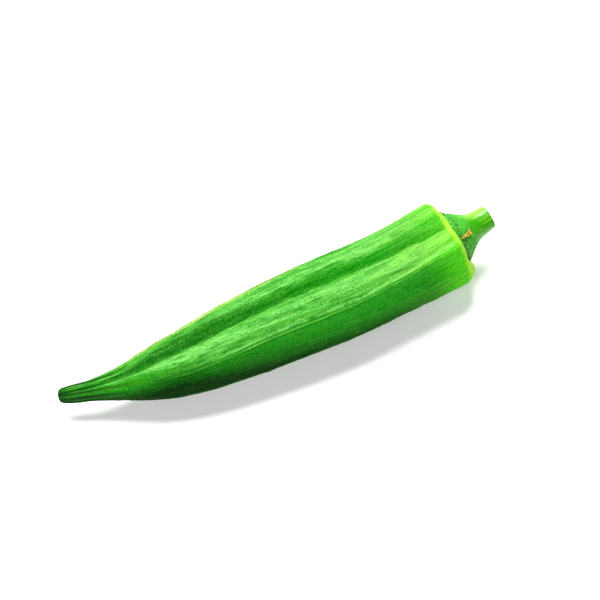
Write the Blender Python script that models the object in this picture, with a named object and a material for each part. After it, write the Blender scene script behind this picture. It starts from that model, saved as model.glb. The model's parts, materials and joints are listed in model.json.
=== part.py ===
"""Okra pod as picked: a five-ridged tapering pod with its cut stem and one withered bract.

Metres, +Z up. The pod lies on its side along X, tip at -X and cut stem at +X, bowed towards -Y, on a narrow
flat along the ridge under it. The origin is the bottom centre of the whole object's box.

Angles around the pod are in degrees, from straight up (+Z) towards +Y. A place along it is a distance from
the tip, measured along X.
"""

import math

import bmesh
import bpy
from mathutils import Vector

MM = 0.001

# Driving dimensions.
POD_LENGTH = 97.2 * MM
POD_RADIUS = 10.0 * MM
STEM_LENGTH = 9.6 * MM
STEM_RADIUS = 2.9 * MM
GAP = 0.3 * MM

# Radius along the pod, as (share of its length, share of its radius), up to where the shoulder starts.
POD_OUTLINE = (
    (0.0, 0.135),
    (0.006, 0.18),
    (0.04, 0.23),
    (0.078, 0.262),
    (0.15, 0.41),
    (0.21, 0.575),
    (0.27, 0.7),
    (0.41, 0.874),
    (0.54, 0.958),
    (0.68, 0.994),
    (0.83, 0.973),
    (0.968, 1.008),
)
# Centreline: the tip bends sideways and dips, and the stem end bends to the same side, by this times the
# square of the metres past its start.
TIP_BEND = 6.5 * MM
TIP_BEND_END = 36.0 * MM
STEM_BEND = 2.44
STEM_BEND_START = 65.0 * MM
BODY_HEIGHT = 10.15 * MM
TIP_DIP = 4.9 * MM
TIP_DIP_END = 75.0 * MM

# Ridges: a furrow divides each from the next, and each rises a little to its crest. Past this share of the
# pod's length they drift from their places at its middle to those at its rim. A furrow has one half width
# before its lowest line and a broader one past it.
FURROWS = (-70.0, -3.0, 68.0, 144.0, 222.0)
CRESTS = (-47.0, 44.0, 106.0, 183.0, 258.0)
FURROW_DEPTHS = (0.03, 0.16, 0.11, 0.125, 0.1)
RIM_FURROWS = (-78.0, -10.0, 68.0, 142.0, 218.0)
RIM_CRESTS = (-39.0, 42.0, 106.0, 183.0, 251.0)
RIM_FURROW_DEPTHS = (0.08, 0.12, 0.12, 0.12, 0.12)
DRIFT_START = 0.7
FURROW_HALF_WIDTHS = (12.5, 18.0)
FURROW_SHARPNESS = 1.5
CREST_RISE = 0.075
CREST_HALF_WIDTH = 14.0
CREST_SHARPNESS = 1.0
# Share of a crest's rise that is left at the tip, and where along the pod the whole of it is reached.
TIP_CREST = 0.4
TIP_CREST_END = 0.4
TIP_TWIST = -10.0
TIP_TWIST_END = 0.3

# Shoulder, rim and the seat that the stem grows from, as shares of the pod's radius.
SHOULDER_RISE = 0.31
SHOULDER_DEPTH = 0.235
RIM_RADIUS = 0.5 * MM
RIM_SCALLOP = 0.9 * MM
RIM_RISE = 0.28 * MM
SEAT_DEPTH = 1.5 * MM
# The rim leans back by this on the side at this angle, and forward by as much across from it.
RIM_SKEW = 0.95 * MM
RIM_SKEW_ANGLE = 10.0

# Radius of the stem over its flared foot, as (share of its length, share of the seat's radius).
STEM_OUTLINE = (
    (0.02, 0.985),
    (0.09, 0.87),
    (0.22, 0.755),
    (0.37, 0.61),
    (0.52, 0.5),
    (0.75, 0.43),
    (1.0, 0.4),
)
PITH_DEPTH = 0.35 * MM
CUT_BEVEL = 0.12 * MM

# The withered bract, at this angle: (rise above the rim, distance from the pod's centreline, radius).
BRACT_ANGLE = -36.0
BRACT_RUN = (
    (0.8 * MM, 7.25 * MM, 0.24 * MM),
    (1.4 * MM, 6.65 * MM, 0.3 * MM),
    (2.2 * MM, 6.15 * MM, 0.32 * MM),
    (3.0 * MM, 5.85 * MM, 0.42 * MM),
    (3.6 * MM, 5.85 * MM, 0.5 * MM),
    (3.9 * MM, 6.0 * MM, 0.34 * MM),
)

# Fineness of the faceted solids.
STEPS_PER_FLANK = 7
BODY_ROWS = 44
SHOULDER_ROWS = 7
RIM_ROWS = 3
STEM_SIDES = 32
STEM_ROWS = 16
BRACT_SIDES = 8


def curve(points, at):
    """Height at `at` of a smooth curve through (place, height) points, level past its ends."""
    at = min(max(at, points[0][0]), points[-1][0])
    last = len(points) - 1
    i = max(k for k in range(last) if points[k][0] <= at)

    def slope(k):
        before, after = points[max(k - 1, 0)], points[min(k + 1, last)]
        return (after[1] - before[1]) / (after[0] - before[0])

    span = points[i + 1][0] - points[i][0]
    t = (at - points[i][0]) / span
    return (
        points[i][1] * (2 * t**3 - 3 * t**2 + 1)
        + points[i + 1][1] * (3 * t**2 - 2 * t**3)
        + slope(i) * span * (t**3 - 2 * t**2 + t)
        + slope(i + 1) * span * (t**3 - t**2)
    )


def spine(place):
    """Point of the centreline at this distance from the tip."""
    sideways = TIP_BEND * max(0.0, 1.0 - place / TIP_BEND_END) ** 2
    sideways += STEM_BEND * max(0.0, place - STEM_BEND_START) ** 2
    height = BODY_HEIGHT - TIP_DIP * max(0.0, 1.0 - place / TIP_DIP_END) ** 2
    return Vector((place, sideways, height))


def around(place, angle, radius):
    """Point at this distance from the centreline, square to it."""
    step = 0.5 * MM
    along = (spine(place + step) - spine(place - step)).normalized()
    side = Vector((0, 0, 1)).cross(along).normalized()
    up = along.cross(side)
    turn = math.radians(angle)
    return spine(place) + radius * (math.cos(turn) * up + math.sin(turn) * side)


def nearness(distance, half_width, sharpness):
    """1 at no distance, falling to nothing past the half width; a lower sharpness gives a keener top."""
    return math.exp(-((abs(distance) / half_width) ** sharpness))


def gradual(start, end, at):
    """0 up to the start, 1 from the end, and smooth between."""
    share = min(max((at - start) / (end - start), 0.0), 1.0)
    return share * share * (3.0 - 2.0 * share)


def drifted(at_middle, at_rim, place):
    """Values at this distance from the tip, between those at the pod's middle and its rim."""
    share = gradual(DRIFT_START, 1.0, place / POD_LENGTH)
    return [middle + (rim - middle) * share for middle, rim in zip(at_middle, at_rim)]


def flanks(place):
    """(from angle, to angle, the flank's furrow, its crest, its furrow's depth), two flanks to a ridge."""
    furrows = drifted(FURROWS, RIM_FURROWS, place)
    crests = drifted(CRESTS, RIM_CRESTS, place)
    depths = drifted(FURROW_DEPTHS, RIM_FURROW_DEPTHS, place)
    furrows.append(furrows[0] + 360.0)
    depths.append(depths[0])
    for k, crest in enumerate(crests):
        yield furrows[k], crest, furrows[k], crest, depths[k]
        yield crest, furrows[k + 1], furrows[k + 1], crest, depths[k + 1]


def ridge_steps(place):
    """(angle, nearness to a furrow, rise as a share of the radius) at each step round the pod."""
    steps = []
    grown = gradual(0.0, TIP_CREST_END, place / POD_LENGTH)
    crest_rise = CREST_RISE * (TIP_CREST + (1.0 - TIP_CREST) * grown)
    for low, high, furrow, crest, depth in flanks(place):
        for i in range(STEPS_PER_FLANK):
            angle = low + (high - low) * i / STEPS_PER_FLANK
            width = FURROW_HALF_WIDTHS[1] if angle > furrow else FURROW_HALF_WIDTHS[0]
            hollow = nearness(angle - furrow, width, FURROW_SHARPNESS)
            lift = crest_rise * nearness(angle - crest, CREST_HALF_WIDTH, CREST_SHARPNESS)
            rise = lift - depth * hollow
            steps.append((angle, hollow, rise))
    return steps


def twist(place):
    """How far the ridges have turned round the pod, in degrees: only near the tip."""
    left = max(0.0, 1.0 - place / (TIP_TWIST_END * POD_LENGTH))
    return TIP_TWIST * left**2


def pod_ring(place, radius, relief=1.0, lip=0.0):
    """One ring of the pod, with its ridges this strong, and this share of the rim's scallops and lean."""
    ring = []
    for angle, hollow, rise in ridge_steps(place):
        reach = radius * (1.0 + relief * rise)
        lean = RIM_SKEW * math.cos(math.radians(angle - RIM_SKEW_ANGLE))
        slide = lip * (RIM_RISE - RIM_SCALLOP * hollow - lean)
        point = around(place + slide, angle + twist(place), reach)
        point.z = max(point.z, 0.0)
        ring.append(point)
    return ring


def pod_rings():
    """Rings from the tip, over the shoulder and the rim, down into the seat."""
    shoulder_start = POD_LENGTH - SHOULDER_RISE * POD_RADIUS
    shoulder_radius = POD_OUTLINE[-1][1] * POD_RADIUS
    rings = []
    for i in range(BODY_ROWS):
        place = shoulder_start * (i / BODY_ROWS) ** 1.25
        rings.append(pod_ring(place, curve(POD_OUTLINE, place / POD_LENGTH) * POD_RADIUS))
    for i in range(SHOULDER_ROWS + 1):
        turn = math.pi / 2 * i / SHOULDER_ROWS
        place = shoulder_start + SHOULDER_RISE * POD_RADIUS * math.sin(turn)
        radius = shoulder_radius - SHOULDER_DEPTH * POD_RADIUS * (1 - math.cos(turn))
        share = math.sin(turn) ** 2
        rings.append(pod_ring(place, radius, relief=1.0 - 0.7 * share, lip=share))
    crest = shoulder_radius - SHOULDER_DEPTH * POD_RADIUS
    for i in range(1, RIM_ROWS + 1):
        turn = math.pi / 2 * i / RIM_ROWS
        share = 1.0 - math.sin(turn)
        rings.append(
            pod_ring(
                POD_LENGTH - RIM_RADIUS * (1 - math.cos(turn)),
                crest - RIM_RADIUS * math.sin(turn),
                relief=0.3 * share,
                lip=share,
            )
        )
    rings.append(pod_ring(POD_LENGTH - SEAT_DEPTH, seat_radius(), relief=0.0))
    return rings


def seat_radius():
    """Radius of the round seat in the pod's end."""
    return (POD_OUTLINE[-1][1] - SHOULDER_DEPTH) * POD_RADIUS - RIM_RADIUS


def round_ring(place, radius, sides):
    return [around(place, 360.0 * k / sides, radius) for k in range(sides)]


def stem_rings():
    """Rings from the foot in the pod's seat, up the flare and the stem, and into the cut's hollow pith."""
    foot = seat_radius() - GAP
    bottom = POD_LENGTH - SEAT_DEPTH + GAP
    cut = POD_LENGTH + STEM_LENGTH
    rings = [round_ring(bottom, foot * 0.96, STEM_SIDES), round_ring(bottom + GAP, foot, STEM_SIDES)]
    for i in range(STEM_ROWS + 1):
        share = (i / STEM_ROWS) ** 1.5
        place = POD_LENGTH - 0.1 * MM + (STEM_LENGTH + 0.1 * MM - CUT_BEVEL) * share
        reach = STEM_OUTLINE[0][0] + (1 - STEM_OUTLINE[0][0]) * share
        radius = max(curve(STEM_OUTLINE, reach) * seat_radius(), STEM_RADIUS)
        rings.append(round_ring(place, min(radius, foot), STEM_SIDES))
    for radius, depth in ((0.96, 0.0), (0.62, 0.0), (0.52, PITH_DEPTH), (0.2, PITH_DEPTH)):
        rings.append(round_ring(cut - depth, radius * STEM_RADIUS, STEM_SIDES))
    return rings


def bract_rings():
    """Rings along the bract's bent run, each square to it, wider across than it is thick."""
    run = [around(POD_LENGTH + rise, BRACT_ANGLE, reach) for rise, reach, _ in BRACT_RUN]
    across = (around(POD_LENGTH, BRACT_ANGLE + 90.0, 1.0) - spine(POD_LENGTH)).normalized()
    rings = []
    for i, (_, _, radius) in enumerate(BRACT_RUN):
        ahead = (run[min(i + 1, len(run) - 1)] - run[max(i - 1, 0)]).normalized()
        out = ahead.cross(across).normalized()
        ring = []
        for k in range(BRACT_SIDES):
            turn = 2 * math.pi * k / BRACT_SIDES
            ring.append(run[i] + radius * (math.cos(turn) * across * 1.3 + math.sin(turn) * out))
        rings.append(ring)
    return rings


def plain_material(name, colour, roughness):
    """A Principled BSDF of one colour."""
    material = bpy.data.materials.new(name)
    material.use_nodes = True
    shader = material.node_tree.nodes["Principled BSDF"]
    shader.inputs["Base Color"].default_value = (*colour, 1.0)
    shader.inputs["Roughness"].default_value = roughness
    shader.inputs["Metallic"].default_value = 0.0
    return material


def loft(name, rings, material, whole):
    """One closed solid through the rings, capped at both ends, smooth but for its sharp edges."""
    shape = bmesh.new()
    rows = [[shape.verts.new(point) for point in ring] for ring in rings]
    for row, following in zip(rows, rows[1:]):
        for k in range(len(row)):
            after = (k + 1) % len(row)
            shape.faces.new((row[k], row[after], following[after], following[k]))
    shape.faces.new(list(reversed(rows[0])))
    shape.faces.new(rows[-1])
    bmesh.ops.recalc_face_normals(shape, faces=shape.faces)
    mesh = bpy.data.meshes.new(name)
    shape.to_mesh(mesh)
    shape.free()
    mesh.shade_smooth()
    mesh.set_sharp_from_angle(angle=math.radians(40))
    mesh.materials.append(material)
    made = bpy.data.objects.new(name, mesh)
    bpy.context.scene.collection.objects.link(made)
    made.parent = whole
    return made


def centre_on_origin(whole, pieces):
    """Moves the whole so that the middle of its box stands over the origin."""
    places = [vertex.co for piece in pieces for vertex in piece.data.vertices]
    for axis in (0, 1):
        whole.location[axis] = -(min(p[axis] for p in places) + max(p[axis] for p in places)) / 2


def main():
    for old in list(bpy.data.objects):
        bpy.data.objects.remove(old)
    whole = bpy.data.objects.new("okra", None)
    bpy.context.scene.collection.objects.link(whole)
    skin = plain_material("pod_skin", (0.06, 0.34, 0.02), 0.5)
    stalk = plain_material("stem_skin", (0.12, 0.42, 0.04), 0.45)
    dry = plain_material("dried_bract", (0.6, 0.33, 0.07), 0.8)
    pieces = [
        loft("pod", pod_rings(), skin, whole),
        loft("stem", stem_rings(), stalk, whole),
        loft("dried_bract", bract_rings(), dry, whole),
    ]
    centre_on_origin(whole, pieces)


main()
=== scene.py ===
"""Looks of an okra pod as picked: a five-ridged pod, its cut stem, and a withered bract at the rim.

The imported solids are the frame. Lengths are in metres and +Z is up. The pod lies along X with its tip at -X.
A place along it is a distance from the tip, measured along X, and an angle round it is in degrees, from
straight up towards +Y. Noises, marks and reliefs of a finish are in millimetres.
"""

from __future__ import annotations

import json
import logging
import math
from dataclasses import dataclass, field
from enum import Enum
from typing import Any, Callable, Mapping, Sequence

import bmesh
import bpy
from bpy.types import Material, NodeSocket, Object
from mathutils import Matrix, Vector

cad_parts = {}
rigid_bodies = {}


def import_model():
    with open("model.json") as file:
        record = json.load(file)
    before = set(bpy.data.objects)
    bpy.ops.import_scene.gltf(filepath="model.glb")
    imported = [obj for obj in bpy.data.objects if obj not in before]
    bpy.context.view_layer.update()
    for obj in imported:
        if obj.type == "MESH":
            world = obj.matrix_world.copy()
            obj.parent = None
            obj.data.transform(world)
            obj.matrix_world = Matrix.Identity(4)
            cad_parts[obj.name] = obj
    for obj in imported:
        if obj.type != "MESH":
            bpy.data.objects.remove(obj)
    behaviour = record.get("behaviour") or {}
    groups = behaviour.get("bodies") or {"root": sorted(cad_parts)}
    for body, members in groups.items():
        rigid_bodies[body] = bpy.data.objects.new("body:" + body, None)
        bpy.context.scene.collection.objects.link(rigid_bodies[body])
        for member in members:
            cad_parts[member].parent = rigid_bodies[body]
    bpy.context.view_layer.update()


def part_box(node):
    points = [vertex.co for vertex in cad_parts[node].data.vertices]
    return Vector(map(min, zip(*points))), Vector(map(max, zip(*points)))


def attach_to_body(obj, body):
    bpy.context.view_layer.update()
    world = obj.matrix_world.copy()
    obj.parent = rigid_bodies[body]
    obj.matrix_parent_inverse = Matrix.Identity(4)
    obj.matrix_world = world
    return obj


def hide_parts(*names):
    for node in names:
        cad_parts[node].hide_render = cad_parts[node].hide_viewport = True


LOG = logging.getLogger("okra")
MM = 0.001
RADIAN = math.radians(1.0)
BODY = "root"
# Where a sheet's edges meet, points nearer than this become one.
SEAM = 0.0003 * MM
# Added before a row's number is rounded down, so that its first point isn't counted to the row before.
ROW_NUDGE = 0.25 / 512
Colour = tuple[float, float, float]
Outline = tuple[tuple[float, float], ...]
Key = int | str
NodeValues = Mapping[Key, Any]


class Solid(Enum):
    """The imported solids, by the names of their nodes."""

    POD = "pod"
    STEM = "stem"
    BRACT = "dried_bract"


class Slot(Enum):
    """The record's material slots."""

    POD = "pod_skin"
    STEM = "stem_skin"
    BRACT = "dried_bract"


class Mark(Enum):
    """Attributes that a shape stores for its finish."""

    ALONG = "along"
    FLOW = "flow"
    FURROW = "furrow"
    CREST_GAP = "crest_gap"
    # How far a point lies in the painted shade of a flank beside a furrow.
    FLANK = "flank"
    UNDERSIDE = "underside"
    LIP = "lip"
    RELIEF = "relief"
    HOLLOW = "hollow"
    SHADE = "shade"
    CUT = "cut"


@dataclass(frozen=True)
class Grain:
    """One noise: its grains to a millimetre along and across, its detail and its roughness."""

    along: float
    across: float
    detail: float = 2.0
    roughness: float = 0.5


def math_step(operation: str, *extra: float, reflected: bool = False) -> Callable[..., Signal]:
    """Makes a method of Signal that adds one Math node.

    Args:
        operation: What the node does to the signal and to the method's other values.
        extra: Numbers that always follow them.
        reflected: Whether the signal comes last, as it does in 1.0 - signal.

    Returns:
        The method.
    """

    def step(self: Signal, *others: Value) -> Signal:
        """The result of the node."""
        values = (*others, self) if reflected else (self, *others)
        return self.board.value("ShaderNodeMath", {"operation": operation}, dict(enumerate(values + extra)))

    return step


class Signal:
    """A value socket that takes part in Python arithmetic, each step of which adds a Math node.

    `half_turn` brings degrees between -180 and 180, and `whole` rounds down.
    """

    def __init__(self, board: Board, socket: NodeSocket) -> None:
        """Wraps a socket of the board's tree."""
        self.board = board
        self.socket = socket

    __add__ = __radd__ = math_step("ADD")
    __mul__ = __rmul__ = math_step("MULTIPLY")
    __sub__ = math_step("SUBTRACT")
    __rsub__ = math_step("SUBTRACT", reflected=True)
    __truediv__ = math_step("DIVIDE")
    __pow__ = math_step("POWER")
    __neg__ = math_step("MULTIPLY", -1.0)
    __abs__ = math_step("ABSOLUTE")
    at_least = math_step("MAXIMUM")
    at_most = math_step("MINIMUM")
    whole = math_step("FLOOR")
    cos = math_step("COSINE")
    sin = math_step("SINE")
    power_of_e = math_step("EXPONENT")
    half_turn = math_step("WRAP", 180.0, -180.0)

    def rise(self, start: Value, end: Value) -> Signal:
        """0 up to start, 1 from end, and smooth between; start may be the larger."""
        limits = {"Value": self, "From Min": start, "From Max": end}
        return self.board.value("ShaderNodeMapRange", {"interpolation_type": "SMOOTHSTEP"}, limits)

    def nearness(self, half_width: Value, power: float = 2.0) -> Signal:
        """1 where self is 0, falling to nothing past half_width; the lower the power, the sharper the top."""
        return (-((abs(self) / half_width) ** power)).power_of_e()


Value = Signal | float


def at_least(value: Value, floor: float) -> Value:
    """value, or floor where that is more, for a number or a signal."""
    return value.at_least(floor) if isinstance(value, Signal) else max(value, floor)


class Board:
    """A node tree, with one method that adds any node and short ones for what is asked for often."""

    def __init__(self, tree: bpy.types.NodeTree) -> None:
        """Works on an existing tree."""
        self.tree = tree

    @staticmethod
    def _find(sockets: Any, key: Key) -> NodeSocket:
        """The socket at an index, or the first one in use with a name."""
        named = (socket for socket in sockets if socket.name == key and socket.enabled)
        return sockets[key] if isinstance(key, int) else next(named)

    def _feed(self, socket: NodeSocket, value: Any) -> None:
        """Links a signal to an input, or sets the input's own value.

        Args:
            socket: The input.
            value: A signal, a number, a vector, a colour of three parts, or whatever the input holds.
        """
        if isinstance(value, Signal):
            self.tree.links.new(value.socket, socket)
        elif socket.type == "RGBA":
            socket.default_value = (*value[:3], 1.0)
        else:
            socket.default_value = value

    def node(
        self, kind: str, settings: Mapping[str, Any] | None = None, values: NodeValues | None = None
    ) -> bpy.types.Node:
        """Adds a node.

        Args:
            kind: The node's type.
            settings: Its properties, set before its sockets.
            values: A value or a signal for each input, by index or by name.

        Returns:
            The new node.
        """
        made = self.tree.nodes.new(kind)
        for name, value in (settings or {}).items():
            setattr(made, name, value)
        for key, value in (values or {}).items():
            self._feed(self._find(made.inputs, key), value)
        return made

    def value(
        self,
        kind: str,
        settings: Mapping[str, Any] | None = None,
        values: NodeValues | None = None,
        output: Key | None = None,
    ) -> Signal:
        """Adds a node and reads one of its outputs.

        Args:
            kind: As for `node`.
            settings: As for `node`.
            values: As for `node`.
            output: The output's index or name, if it isn't the first in use.

        Returns:
            The output.
        """
        made = self.node(kind, settings, values)
        if output is None:
            return Signal(self, next(socket for socket in made.outputs if socket.enabled))
        return Signal(self, self._find(made.outputs, output))

    def vector(self, operation: str, *values: Any) -> Signal:
        """The result of a Vector Math node on these vectors."""
        return self.value("ShaderNodeVectorMath", {"operation": operation}, dict(enumerate(values)))

    def scaled(self, vector: Signal, by: Value) -> Signal:
        """A vector, this many times as long."""
        return self.value("ShaderNodeVectorMath", {"operation": "SCALE"}, {0: vector, "Scale": by})

    def join(self, x: Value, y: Value, z: Value) -> Signal:
        """A vector of three values."""
        return self.value("ShaderNodeCombineXYZ", None, {0: x, 1: y, 2: z})

    def parts(self, vector: Signal) -> tuple[Signal, Signal, Signal]:
        """The three values of a vector."""
        made = self.node("ShaderNodeSeparateXYZ", None, {0: vector})
        return tuple(Signal(self, socket) for socket in made.outputs)

    def noise(self, at: Signal, grain: Grain) -> Signal:
        """Noise of about 0 to 1.

        Args:
            at: The point, in millimetres.
            grain: The noise's fineness.

        Returns:
            The noise at the point.
        """
        stretched = self.vector("MULTIPLY", at, (grain.along, grain.across, grain.across))
        values = {"Vector": stretched, "Scale": 1.0, "Detail": grain.detail, "Roughness": grain.roughness}
        return self.value("ShaderNodeTexNoise", None, values, output=0)

    def blend(self, below: Any, above: Any, share: Value) -> Signal:
        """The colour below, or the one above where share is 1."""
        settings = {"data_type": "RGBA", "clamp_factor": True}
        return self.value("ShaderNodeMix", settings, {"Factor": share, "A": below, "B": above})


class Grower(Board):
    """A Geometry Nodes tree with named inputs, which grows one object's mesh and leaves it plain."""

    KINDS = ((int, "NodeSocketInt"), (float, "NodeSocketFloat"), (Material, "NodeSocketMaterial"))

    def __init__(self, name: str, inputs: Mapping[str, Any]) -> None:
        """Starts a tree.

        Args:
            name: The tree's name.
            inputs: A value for each named input, whose type sets the input's type.
        """
        super().__init__(bpy.data.node_groups.new(name, "GeometryNodeTree"))
        self.values = dict(inputs)
        self._socket("Geometry", "INPUT", "NodeSocketGeometry")
        self.sockets = {}
        for label, value in self.values.items():
            kind = next(kind for known, kind in self.KINDS if isinstance(value, known))
            self.sockets[label] = self._socket(label, "INPUT", kind)
        self._socket("Geometry", "OUTPUT", "NodeSocketGeometry")
        self.entry = self.node("NodeGroupInput")

    def _socket(self, label: str, side: str, kind: str) -> bpy.types.NodeTreeInterfaceSocket:
        """Adds an input or an output to the tree."""
        return self.tree.interface.new_socket(label, in_out=side, socket_type=kind)

    def __getitem__(self, label: str) -> Signal:
        """The signal of a named input."""
        return Signal(self, self.entry.outputs[label])

    def position(self) -> Signal:
        """Where each point is."""
        return self.value("GeometryNodeInputPosition")

    def named(self, mark: Mark, kind: str = "FLOAT") -> Signal:
        """A stored attribute."""
        return self.value("GeometryNodeInputNamedAttribute", {"data_type": kind}, {"Name": mark.value})

    def store(self, geometry: Signal, mark: Mark, value: Signal, kind: str = "FLOAT") -> Signal:
        """The geometry with an attribute stored on its points."""
        values = {"Geometry": geometry, "Name": mark.value, "Value": value}
        return self.value("GeometryNodeStoreNamedAttribute", {"data_type": kind, "domain": "POINT"}, values)

    def sample(self, value: Signal, index: Signal, kind: str = "FLOAT") -> Signal:
        """The value at one point of the host's own mesh."""
        values = {"Geometry": self["Geometry"], "Value": value, "Index": index}
        return self.value("GeometryNodeSampleIndex", {"data_type": kind, "domain": "POINT"}, values)

    def moved(self, geometry: Signal, by: str, vector: Signal) -> Signal:
        """The geometry with its points moved to a "Position" or by an "Offset"."""
        return self.value("GeometryNodeSetPosition", None, {"Geometry": geometry, by: vector})

    def compare(self, a: Signal, operation: str, b: Signal) -> Signal:
        """1 where the comparison of two numbers holds, and 0 elsewhere."""
        settings = {"data_type": "FLOAT", "operation": operation}
        return self.value("FunctionNodeCompare", settings, {"A": a, "B": b})

    def random(self, low: float, high: float, seed: Value) -> Signal:
        """A number for each element, between low and high."""
        values = {"Min": low, "Max": high, "Seed": seed}
        return self.value("FunctionNodeRandomValue", {"data_type": "FLOAT"}, values)

    def random_vector(self, reach: float, seed: Value) -> Signal:
        """A vector for each element, with each part between -reach and reach."""
        values = {"Min": (-reach,) * 3, "Max": (reach,) * 3, "Seed": seed}
        return self.value("FunctionNodeRandomValue", {"data_type": "FLOAT_VECTOR"}, values)

    def copies(self, points: Signal, shape: Signal, rotation: Signal, scale: Signal) -> Signal:
        """A copy of the shape at each point."""
        values = {"Points": points, "Instance": shape, "Rotation": rotation, "Scale": scale}
        return self.value("GeometryNodeInstanceOnPoints", None, values)

    def grow(self, host: Object, geometry: Signal) -> Object:
        """Ends the tree, runs it on an object, and leaves the result as the object's plain mesh.

        Args:
            host: The object whose mesh goes into the tree.
            geometry: The tree's result, which gets the input named "Finish".

        Returns:
            The same object, with its new mesh and no modifier.
        """
        real = self.value("GeometryNodeRealizeInstances", None, {"Geometry": geometry})
        finished = self.value("GeometryNodeSetMaterial", None, {"Geometry": real, "Material": self["Finish"]})
        self.node("NodeGroupOutput", None, {"Geometry": finished})
        modifier = host.modifiers.new(self.tree.name, "NODES")
        modifier.node_group = self.tree
        for label, value in self.values.items():
            modifier[self.sockets[label].identifier] = value
        graph = bpy.context.evaluated_depsgraph_get()
        evaluated = host.evaluated_get(graph)
        mesh = bpy.data.meshes.new_from_object(evaluated, preserve_all_data_layers=True, depsgraph=graph)
        host.modifiers.clear()
        host.data = mesh
        return host


class Painter(Board):
    """A material's node tree around one Principled BSDF, with a coat of colour that grows layer by layer."""

    def __init__(self, name: str, specular: float, coat: Colour) -> None:
        """Starts a material.

        Args:
            name: The material's name.
            specular: The shader's specular level.
            coat: The lowest colour.
        """
        self.material = bpy.data.materials.new(name)
        self.material.use_nodes = True
        super().__init__(self.material.node_tree)
        self.coat: Colour | Signal = coat
        self._set({"Specular IOR Level": specular})

    def _set(self, values: NodeValues) -> None:
        """Gives the shader's sockets values or signals."""
        for name, value in values.items():
            self._feed(self._find(self.tree.nodes["Principled BSDF"].inputs, name), value)

    def mark(self, mark: Mark, output: str = "Fac") -> Signal:
        """What the shape stored: a value, or a vector with the output "Vector"."""
        return self.value("ShaderNodeAttribute", {"attribute_name": mark.value}, output=output)

    def here(self) -> Signal:
        """The point in the piece's own space, in millimetres."""
        return self.scaled(self.value("ShaderNodeTexCoord", output="Object"), 1.0 / MM)

    def cover(self, colour: Any, share: Value) -> None:
        """Lays a colour over the coat, all of it where share is 1."""
        self.coat = self.blend(self.coat, colour, share)

    def finish(self, roughness: Value, height: Signal | None = None) -> Material:
        """Feeds the coat to the shader and ends the material.

        Args:
            roughness: The shader's roughness.
            height: The fine relief, in millimetres.

        Returns:
            The material.
        """
        self._set({"Base Color": self.coat, "Roughness": roughness})
        if height is not None:
            self._set({"Normal": self.value("ShaderNodeBump", None, {"Distance": MM, "Height": height})})
        return self.material


def put(name: str, data: bpy.types.ID) -> Object:
    """Adds an object to the scene.

    Args:
        name: Its name.
        data: Its mesh, light or camera.

    Returns:
        The object.
    """
    made = bpy.data.objects.new(name, data)
    bpy.context.scene.collection.objects.link(made)
    return made


def point_object(name: str, points: Sequence[Vector]) -> Object:
    """Adds an object whose mesh has only points.

    Args:
        name: Its name.
        points: The points.

    Returns:
        The object.
    """
    mesh = bpy.data.meshes.new(name)
    mesh.from_pydata([tuple(point) for point in points], [], [])
    return put(name, mesh)


def attach(piece: Object, shift: Vector, replaced: Solid | None = None) -> None:
    """Puts a finished piece in its place on the frame.

    Args:
        piece: The piece, built with the pod's tip at the origin.
        shift: How far its mesh moves.
        replaced: The solid that it stands for.
    """
    for vertex in piece.data.vertices:
        vertex.co += shift
    piece.data.update()
    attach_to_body(piece, BODY)
    if replaced is not None:
        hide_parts(replaced.value)
    LOG.info("%s: %d faces", piece.name, len(piece.data.polygons))


def curve(points: Outline, at: float) -> float:
    """Reads a smooth curve, level past its ends.

    Args:
        points: A place and a height for each point that the curve goes through.
        at: The place to read it at.

    Returns:
        The curve's height there.
    """
    at = min(max(at, points[0][0]), points[-1][0])
    last = len(points) - 1
    i = max(k for k in range(last) if points[k][0] <= at)

    def slope(k: int) -> float:
        """Slope at a point, between its neighbours."""
        before, after = points[max(k - 1, 0)], points[min(k + 1, last)]
        return (after[1] - before[1]) / (after[0] - before[0])

    span = points[i + 1][0] - points[i][0]
    t = (at - points[i][0]) / span
    return (
        points[i][1] * (2 * t**3 - 3 * t**2 + 1)
        + points[i + 1][1] * (3 * t**2 - 2 * t**3)
        + slope(i) * span * (t**3 - 2 * t**2 + t)
        + slope(i + 1) * span * (t**3 - t**2)
    )


def quarter(steps: int, count: int) -> list[tuple[float, float]]:
    """Cosine and sine of the first so many angles, a right angle having this many steps."""
    turns = (math.pi / 2 * i / steps for i in range(count))
    return [(math.cos(turn), math.sin(turn)) for turn in turns]


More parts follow.
